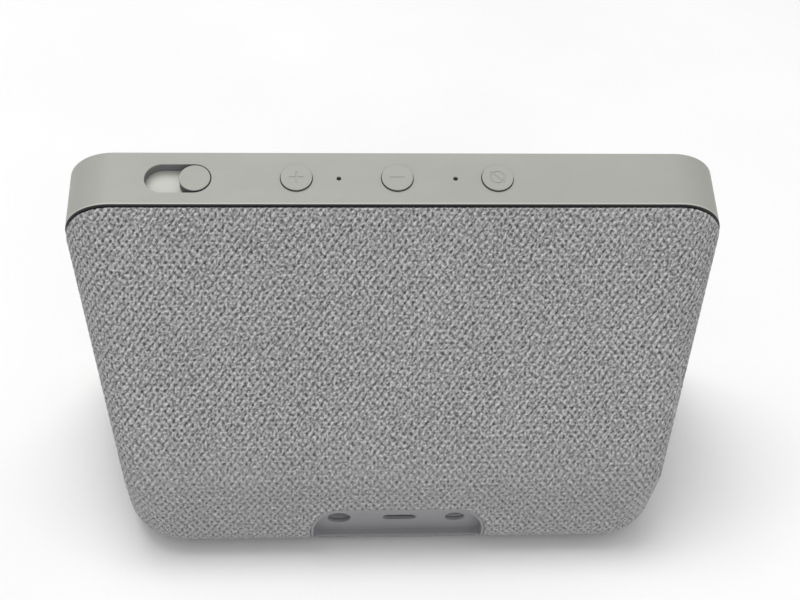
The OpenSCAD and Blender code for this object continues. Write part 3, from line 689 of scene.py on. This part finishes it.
def glass_shades(tree, place, base):
    """A printed border round the display's window, and a round clear window over the camera."""
    lo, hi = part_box("lcd_panel")
    lens_lo, lens_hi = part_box("camera_lens")
    half = (hi.x - lo.x) / 2 - 1.5 * MM
    up = distance_along(tree, place, UP_SCREEN)
    panel_up = [float((np.array((0, p.y, p.z)) - SCREEN_ORIGIN) @ UP_SCREEN) for p in (lo, hi)]
    wide = band(tree, apart(tree, place, "X"), (lo.x + hi.x) / 2 - half, (lo.x + hi.x) / 2 + half, 0.1 * MM)
    high = band(tree, up, panel_up[0] + 3 * MM, panel_up[1] - 3 * MM, 0.1 * MM)
    base = mix(tree, base, [c * 2.6 for c in GLASS_BLACK], maths(tree, "MULTIPLY", wide, high))
    middle = np.array((lens_lo + lens_hi) / 2)
    aside = maths(tree, "SUBTRACT", apart(tree, place, "X"), float(middle[0]))
    above = maths(tree, "SUBTRACT", up, float((middle - SCREEN_ORIGIN) @ UP_SCREEN))
    squares = maths(tree, "MULTIPLY_ADD", above, above, maths(tree, "MULTIPLY", aside, aside))
    far = maths(tree, "SQRT", squares)
    base = mix(tree, base, (0.035, 0.035, 0.04), band(tree, far, 1.6 * MM, 2.1 * MM, 0.08 * MM))
    return mix(tree, base, (0.004, 0.006, 0.014), band(tree, far, -1 * MM, 1.2 * MM, 0.1 * MM))


def polished(name, colour, rough=0.06, shades=None):
    """Polished glass or film over a dark print, with faint smears."""
    m, tree, shader = new_material(name)
    place = add(tree, "ShaderNodeTexCoord").outputs["Object"]
    smear = noise(tree, place, 45.0, 7.0, 0.65, stretch=(1, 1, 0.4))
    base = ramp(tree, smear, colour, [c * 1.5 + 0.002 for c in colour])
    if shades:
        base = shades(tree, place, base)
    join(tree, base, shader.inputs["Base Color"])
    join(tree, between(tree, smear, rough, rough + 0.09, 0.4, 0.75), shader.inputs["Roughness"])
    bump(tree, shader, noise(tree, place, 60.0, 2.0), 0.01 * MM, 0.1)
    shader.inputs["IOR"].default_value = 1.52
    return m


def wound(name, low, high, turns=4200.0, rough=0.4, metallic=0.0):
    """Thread, wire or woven cloth laid in fine parallel turns."""
    m, tree, shader = new_material(name)
    place = add(tree, "ShaderNodeTexCoord").outputs["Object"]
    wave = add(tree, "ShaderNodeTexWave", bands_direction="Z")
    wave.inputs["Scale"].default_value = turns / 6
    wave.inputs["Distortion"].default_value = 0.6
    join(tree, place, wave.inputs["Vector"])
    turn = wave.outputs["Fac"]
    speck = noise(tree, place, 900.0, 4.0)
    base = mix(tree, ramp(tree, turn, low, high, (0.1, 0.9)), low, between(tree, speck, 0, 0.35, 0.5, 0.7))
    join(tree, base, shader.inputs["Base Color"])
    shader.inputs["Metallic"].default_value = metallic
    join(tree, between(tree, turn, rough + 0.12, rough, 0, 1), shader.inputs["Roughness"])
    bump(tree, shader, turn, 0.06 * MM, 0.6)
    return m


def woven_fabric(name, dark, pale):
    """Melange woven cloth: rounded yarns, each its own grey, leaning on the slope and quieter below it, with
    painted shade.
    """
    m, tree, shader = new_material(name)
    weave = add(tree, "ShaderNodeAttribute", attribute_name="weave").outputs["Vector"]
    place = add(tree, "ShaderNodeTexCoord").outputs["Object"]
    # The yarns wander a little from their places
    wander = add(tree, "ShaderNodeTexNoise")
    wander.inputs["Scale"].default_value = 480.0
    wander.inputs["Detail"].default_value = 2.0
    join(tree, place, wander.inputs["Vector"])
    middle = add(tree, "ShaderNodeVectorMath", operation="SUBTRACT")
    join(tree, wander.outputs["Color"], middle.inputs[0])
    middle.inputs[1].default_value = (0.5, 0.5, 0.5)
    shift = add(tree, "ShaderNodeVectorMath", operation="MULTIPLY_ADD")
    join(tree, middle.outputs["Vector"], shift.inputs[0])
    shift.inputs[1].default_value = (0.5 * MM, 0.4 * MM, 0)
    join(tree, weave, shift.inputs[2])
    split = add(tree, "ShaderNodeSeparateXYZ")
    join(tree, shift.outputs["Vector"], split.inputs[0])
    across = maths(tree, "MULTIPLY", split.outputs["X"], 2 * math.pi / YARN_PITCH)
    down = maths(tree, "MULTIPLY", split.outputs["Y"], math.pi / YARN_ROW)
    slope = between(tree, split.outputs["Y"], 1.0, 0.0, KNEE_S - TWILL_FADE, KNEE_S)
    one = maths(tree, "COSINE", maths(tree, "ADD", across, down))
    other = maths(tree, "COSINE", maths(tree, "SUBTRACT", across, down))
    one = maths(tree, "MULTIPLY", one, between(tree, slope, 0.5, 0.5 - TWILL, 0, 1))
    lattice = maths(tree, "MULTIPLY_ADD", other, between(tree, slope, 0.5, 0.5 + TWILL, 0, 1), one)
    gap = maths(tree, "POWER", between(tree, lattice, 1.0, 0.0, -1.0, 1.0), 2.2)
    hump = maths(tree, "SUBTRACT", 1.0, gap)
    # Fibres run along each yarn, aslant to the rows
    turn = add(tree, "ShaderNodeMapping", vector_type="TEXTURE")
    turn.inputs["Rotation"].default_value = (0, 0, math.radians(-36))
    turn.inputs["Scale"].default_value = (1.0, 1.6, 1.0)
    join(tree, shift.outputs["Vector"], turn.inputs["Vector"])
    fibre = noise(tree, turn.outputs["Vector"], 2000.0, 2.0)
    fluff = noise(tree, weave, 1500.0, 3.0, 0.6)
    yarn = add(tree, "ShaderNodeTexVoronoi")
    yarn.inputs["Scale"].default_value = 1 / (0.75 * MM)
    join(tree, shift.outputs["Vector"], yarn.inputs["Vector"])
    own = add(tree, "ShaderNodeSeparateXYZ")
    join(tree, yarn.outputs["Color"], own.inputs[0])
    patch = noise(tree, place, 60.0, 3.0)
    tone = maths(tree, "MULTIPLY_ADD", own.outputs["X"], 0.14, 0.10)
    tone = maths(tree, "ADD", tone, between(tree, fibre, -0.36, 0.5, 0.32, 0.72))
    tone = maths(tree, "ADD", tone, between(tree, fluff, -0.12, 0.22))
    speck = noise(tree, shift.outputs["Vector"], 1750.0, 1.0)
    tone = maths(tree, "ADD", tone, between(tree, speck, 0.0, 0.8, 0.55, 0.75))
    # Below the knee the tone is darker and its contrast weaker: painted shade on the lower face
    tone = maths(tree, "MULTIPLY", tone, between(tree, slope, 0.62, 1.0, 0, 1))
    tone = maths(tree, "ADD", tone, between(tree, slope, 0.08, 0.0, 0, 1))
    tone = maths(tree, "ADD", tone, between(tree, patch, -0.025, 0.025))
    # Painted light on the yarns' humps
    tone = maths(tree, "ADD", tone, maths(tree, "MULTIPLY", hump, 0.24))
    base = ramp(tree, tone, dark, pale, (0.0, 1.0))
    # Painted shade in the pits between the yarns, stronger on the slope
    sunk = [c * 0.5 for c in dark]
    shaded = between(tree, gap, 0.0, 0.5, 0.3, 0.95)
    shaded = maths(tree, "MULTIPLY", shaded, between(tree, slope, 0.6, 1.0, 0, 1))
    base = mix(tree, base, sunk, shaded)
    join(tree, base, shader.inputs["Base Color"])
    join(tree, between(tree, fibre, 0.78, 0.96), shader.inputs["Roughness"])
    shader.inputs["Specular IOR Level"].default_value = 0.25
    shader.inputs["Sheen Weight"].default_value = 0.12
    shader.inputs["Sheen Roughness"].default_value = 0.45
    first = add(tree, "ShaderNodeBump")
    first.inputs["Distance"].default_value = 0.2 * MM
    first.inputs["Strength"].default_value = 0.7
    join(tree, hump, first.inputs["Height"])
    bump(tree, shader, maths(tree, "ADD", fibre, fluff), 0.12 * MM, 0.8, after=first.outputs["Normal"])
    return m


CAP_LOOK = {"rough": 0.52, "grain": 9500.0, "spread": 0.03, "wear": 0.0, "specular": 0.35}

FINISHES = {
    "frame_plastic": lambda n: moulded(n, GREY_WARM, rough=0.5, grain=7500.0, spread=0.035, wear=0.0,
                                       specular=0.35, shades=frame_painted_light),
    "button_plastic": lambda n: moulded(n, GREY_WARM, shades=cap_painted_shade, **CAP_LOOK),
    "cover_glass": lambda n: polished(n, GLASS_BLACK, shades=glass_shades),
    "black_adhesive": lambda n: rubber(n, (0.018, 0.018, 0.018)),
    "display": lambda n: polished(n, (0.012, 0.012, 0.018), rough=0.16),
    "pressed_steel": lambda n: metal(n, (0.55, 0.56, 0.58)),
    "black_plastic": lambda n: moulded(n, (0.05, 0.05, 0.052), rough=0.5, wear=0.1, shades=socket_painted_light),
    "light_plastic": lambda n: moulded(n, (0.68, 0.68, 0.64), rough=0.48),
    "screw_steel": lambda n: metal(n, (0.42, 0.42, 0.44), rough=0.3, stretch=(1, 1, 0.2)),
    "lens_glass": lambda n: polished(n, (0.02, 0.03, 0.06), rough=0.03),
    "circuit_board": circuit,
    "chip": lambda n: moulded(n, (0.02, 0.02, 0.022), rough=0.55, grain=12000.0),
    "gilded_metal": lambda n: metal(n, (0.75, 0.56, 0.22), rough=0.25),
    "rubber_black": lambda n: rubber(n, (0.02, 0.02, 0.02), rough=0.7),
    "thermal_pad": lambda n: rubber(n, (0.22, 0.33, 0.55), rough=0.75, pores=3000.0),
    "aluminium": lambda n: metal(n, (0.78, 0.79, 0.80), rough=0.3, streaks=1800.0),
    "flex_film": lambda n: wound(n, (0.42, 0.17, 0.03), (0.68, 0.34, 0.08), turns=1500.0, rough=0.25),
    "magnet": lambda n: moulded(n, (0.055, 0.055, 0.06), rough=0.6, grain=5200.0, depth=0.04 * MM),
    "coil_copper": lambda n: wound(n, (0.4, 0.14, 0.04), (0.8, 0.38, 0.16), metallic=1.0, rough=0.25),
    "paper_cone": lambda n: rubber(n, (0.045, 0.045, 0.05), rough=0.85, pores=2600.0),
    "spider_cloth": lambda n: wound(n, (0.32, 0.2, 0.07), (0.6, 0.42, 0.18), turns=2600.0, rough=0.8),
    "wire": lambda n: rubber(n, (0.28, 0.018, 0.018), rough=0.45, pores=9000.0),
    "shell_plastic": lambda n: moulded(n, (0.26, 0.26, 0.27), rough=0.52, shades=shell_painted_shade),
    "fabric": lambda n: woven_fabric(n, (0.085, 0.085, 0.087), (0.60, 0.60, 0.605)),
    "base_plastic": lambda n: moulded(n, (0.275, 0.271, 0.284), rough=0.5, spread=0.05, wear=0.0),
    "foot_rubber": lambda n: rubber(n, (0.075, 0.075, 0.08), rough=0.72),
}

materials = {slot: make(slot) for slot, make in FINISHES.items()}
# The knob's own copy of the cap plastic, with painted shade on its sides and painted light on its floor plate
knob_plastic = moulded("knob_plastic", GREY_WARM, shades=knob_painted_light, **CAP_LOOK)
for part in frame["record"]["subparts"]:
    piece = frame["nodes"][part["node"]]
    piece.data.materials.clear()
    piece.data.materials.append(materials[part["material_slot"]])

frame["nodes"]["shutter_knob"].data.materials[0] = knob_plastic

cover.data.materials.append(materials["fabric"])
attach(cover, "housing")
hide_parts("fabric_cover")


# ---- Softened edges on the moulded pieces ----

# A patch of coplanar faces larger than this is a flat surface, and a smaller one is a facet of a curved one
FLAT_PATCH = 12 * MM * MM
COPLANAR = math.radians(0.3)
MERGE = 0.001 * MM


def flat_faces(bm):
    """The faces that lie in large flat patches."""
    flat, seen = [], set()
    for first in bm.faces:
        if first in seen:
            continue
        seen.add(first)
        patch = [first]
        for face in patch:
            for e in face.edges:
                if len(e.link_faces) != 2 or e.calc_face_angle(0) > COPLANAR:
                    continue
                for other in e.link_faces:
                    if other not in seen:
                        seen.add(other)
                        patch.append(other)
        if sum(f.calc_area() for f in patch) > FLAT_PATCH:
            flat += patch
    return flat


def soften(node, width, segments=3):
    """Breaks the sharp edges of a moulded piece with a small round."""
    piece = frame["nodes"][node]
    weld = piece.modifiers.new("weld", "WELD")
    weld.merge_threshold = MERGE
    flat = piece.modifiers.new("flat", "DECIMATE")
    flat.decimate_type = "DISSOLVE"
    flat.angle_limit = math.radians(0.5)
    edge = piece.modifiers.new("edge", "BEVEL")
    edge.width = width
    edge.segments = segments
    edge.limit_method = "ANGLE"
    edge.angle_limit = math.radians(38)
    edge.use_clamp_overlap = True
    edge.harden_normals = False
    shade = piece.modifiers.new("shade", "WEIGHTED_NORMAL")
    shade.keep_sharp = False
    bm = bmesh.new()
    bm.from_mesh(piece.data)
    source = bm.faces.layers.int.new("source")
    for number, face in enumerate(bm.faces):
        face[source] = number
    bmesh.ops.remove_doubles(bm, verts=bm.verts, dist=MERGE)
    flags = [True] * len(piece.data.polygons)
    for face in flat_faces(bm):
        flags[face[source]] = False
    piece.data.polygons.foreach_set("use_smooth", flags)
    bm.free()


soften("front_frame", 0.35 * MM)
for node in ("volume_up_button", "volume_down_button", "mic_camera_button", "shutter_knob"):
    soften(node, 0.12 * MM, 2)
soften("port_panel", 0.2 * MM, 2)


# ---- Camera, light and floor ----

def look(location, right, up, lens):
    """The scene's camera, from its place and the directions of the picture's right and upper sides."""
    camera = bpy.data.objects.new("camera", bpy.data.cameras.new("camera"))
    x = Vector(right).normalized()
    y = (Vector(up) - Vector(up).dot(x) * x).normalized()
    z = x.cross(y)
    camera.matrix_world = Matrix(((x.x, y.x, z.x, location[0]), (x.y, y.y, z.y, location[1]),
                                  (x.z, y.z, z.z, location[2]), (0, 0, 0, 1)))
    camera.data.lens = lens
    camera.data.sensor_width = 36
    bpy.context.scene.collection.objects.link(camera)
    bpy.context.scene.camera = camera


look(
    location=(0.01653, 0.27020, 0.24581),
    right=(-0.99851, 0.04595, 0.02950),
    up=(-0.00331, -0.59016, 0.80728),
    lens=63.24,
)


def soft_lamp(name, location, target, size, power):
    """A square area lamp turned to a point."""
    lamp = bpy.data.lights.new(name, "AREA")
    lamp.size = size
    lamp.energy = power
    holder = bpy.data.objects.new(name, lamp)
    holder.location = location
    holder.rotation_euler = (Vector(target) - Vector(location)).to_track_quat("-Z", "Y").to_euler()
    bpy.context.scene.collection.objects.link(holder)


MIDDLE = (0, 0, 0.045)
soft_lamp("overhead", (0.16, -0.12, 1.25), MIDDLE, 0.8, 8.5)
soft_lamp("fill_back", (-0.3, 1.4, 0.8), MIDDLE, 1.2, 4.0)

AMBIENT = 0.54
FLOOR_HALF = 3.0

world = bpy.data.worlds.new("studio")
bpy.context.scene.world = world
world.use_nodes = True
world.node_tree.nodes["Background"].inputs["Color"].default_value = (1.0, 1.0, 1.0, 1)
world.node_tree.nodes["Background"].inputs["Strength"].default_value = AMBIENT

floor_mesh = bpy.data.meshes.new("floor")
corners = [(x * FLOOR_HALF, y * FLOOR_HALF, 0) for x, y in ((-1, -1), (1, -1), (1, 1), (-1, 1))]
floor_mesh.from_pydata(corners, [], [(0, 1, 2, 3)])
floor = bpy.data.objects.new("floor", floor_mesh)
bpy.context.scene.collection.objects.link(floor)
paper, paper_tree, paper_shader = new_material("floor_paper")
paper_place = add(paper_tree, "ShaderNodeTexCoord").outputs["Object"]
paper_mottle = noise(paper_tree, paper_place, 8.0)
paper_tone = ramp(paper_tree, paper_mottle, (0.93, 0.93, 0.93), (0.97, 0.97, 0.97))
join(paper_tree, paper_tone, paper_shader.inputs["Base Color"])
paper_shader.inputs["Roughness"].default_value = 0.9
floor_mesh.materials.append(paper)

bpy.context.scene.view_settings.view_transform = "Standard"

bpy.context.view_layer.update()
